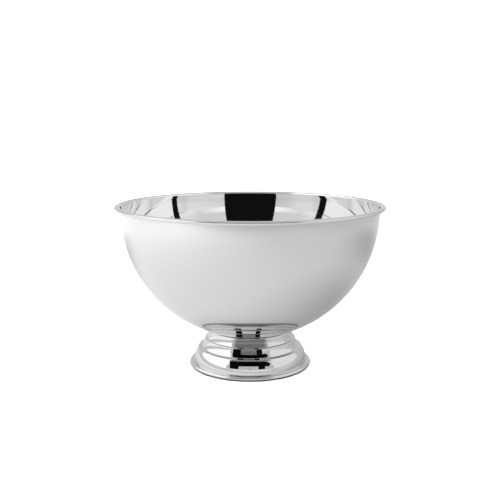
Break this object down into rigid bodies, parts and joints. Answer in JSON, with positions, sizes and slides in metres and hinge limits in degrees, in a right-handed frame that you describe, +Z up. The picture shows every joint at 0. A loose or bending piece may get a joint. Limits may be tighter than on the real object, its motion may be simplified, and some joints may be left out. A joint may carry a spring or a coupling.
{
  "type": "footed punch bowl",
  "caption": "Hemispherical polished stainless steel serving bowl with a curled rim, bolted to a stepped round foot with a curled base edge.",
  "frame": {"origin": "centre of the ring that the foot stands on, on the resting surface", "axes": "+Z up along the axis of revolution, out of the bowl's mouth; the bowl is round, so +X and +Y are free choices"},
  "size_m": [0.385, 0.385, 0.2362],
  "materials": {
    "polished_bowl": "mirror-polished stainless steel, faint concentric spinning and polishing lines",
    "polished_foot": "mirror-polished stainless steel outside, duller as-spun steel inside",
    "edge_wire": "drawn steel wire",
    "fixing_steel": "plain machined stainless steel"
  },
  "bodies": {
    "root": {"bowl_shell": "polished_bowl", "rim_wire": "edge_wire", "foot_shell": "polished_foot", "base_wire": "edge_wire", "mounting_stud": "fixing_steel", "plain_washer": "fixing_steel", "spring_washer": "fixing_steel", "hex_nut": "fixing_steel"}
  },
  "joints": []
}
